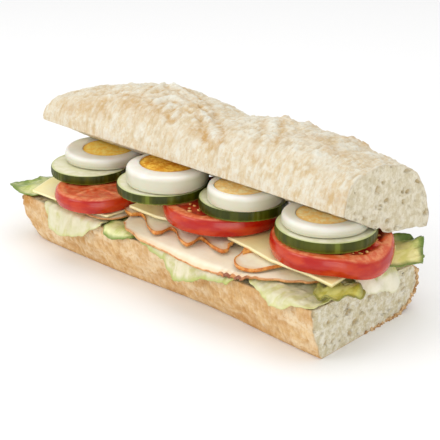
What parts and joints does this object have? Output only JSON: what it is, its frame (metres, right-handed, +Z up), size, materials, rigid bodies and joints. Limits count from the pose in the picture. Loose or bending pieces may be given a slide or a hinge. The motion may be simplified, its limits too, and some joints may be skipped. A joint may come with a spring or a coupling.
{
  "type": "ham and cheese baguette",
  "caption": "Filled half baguette, split and tilted open, with lettuce, ham, cheese, tomato, cucumber and sliced boiled egg showing along its front.",
  "frame": {"origin": "On the surface that it rests on, under the middle of its bounding box", "axes": "+X runs along the loaf from its rounded end to its cut end, -Y is the front where the filling shows, +Z is up"},
  "size_m": [0.2286, 0.0946, 0.088],
  "materials": {
    "bread_lower": "tan floury crust with open crumb at the cut",
    "bread_upper": "pale floury crust with open crumb at the cut",
    "lettuce": "thin pale green leaf",
    "ham": "moist pale slice with a browned rim",
    "cheese": "smooth pale yellow slice",
    "tomato": "glossy red skin round wet flesh",
    "cucumber": "pale wet flesh with a dark green skin",
    "egg_white": "smooth set egg white",
    "egg_yolk": "crumbly boiled yolk"
  },
  "bodies": {
    "root": {"bread_bottom": "bread_lower", "bread_top": "bread_upper", "lettuce_1": "lettuce", "lettuce_2": "lettuce", "lettuce_3": "lettuce", "lettuce_4": "lettuce", "lettuce_5": "lettuce", "lettuce_6": "lettuce", "lettuce_7": "lettuce", "lettuce_8": "lettuce", "ham_1": "ham", "ham_2": "ham", "ham_3": "ham", "ham_4": "ham", "cheese_1": "cheese", "cheese_2": "cheese", "cheese_3": "cheese", "tomato_1": "tomato", "tomato_2": "tomato", "tomato_3": "tomato", "cucumber_1": "cucumber", "cucumber_2": "cucumber", "cucumber_3": "cucumber", "cucumber_4": "cucumber", "egg_white_1": "egg_white", "egg_white_2": "egg_white", "egg_white_3": "egg_white", "egg_white_4": "egg_white", "egg_yolk_1": "egg_yolk", "egg_yolk_2": "egg_yolk", "egg_yolk_3": "egg_yolk", "egg_yolk_4": "egg_yolk"}
  },
  "joints": []
}
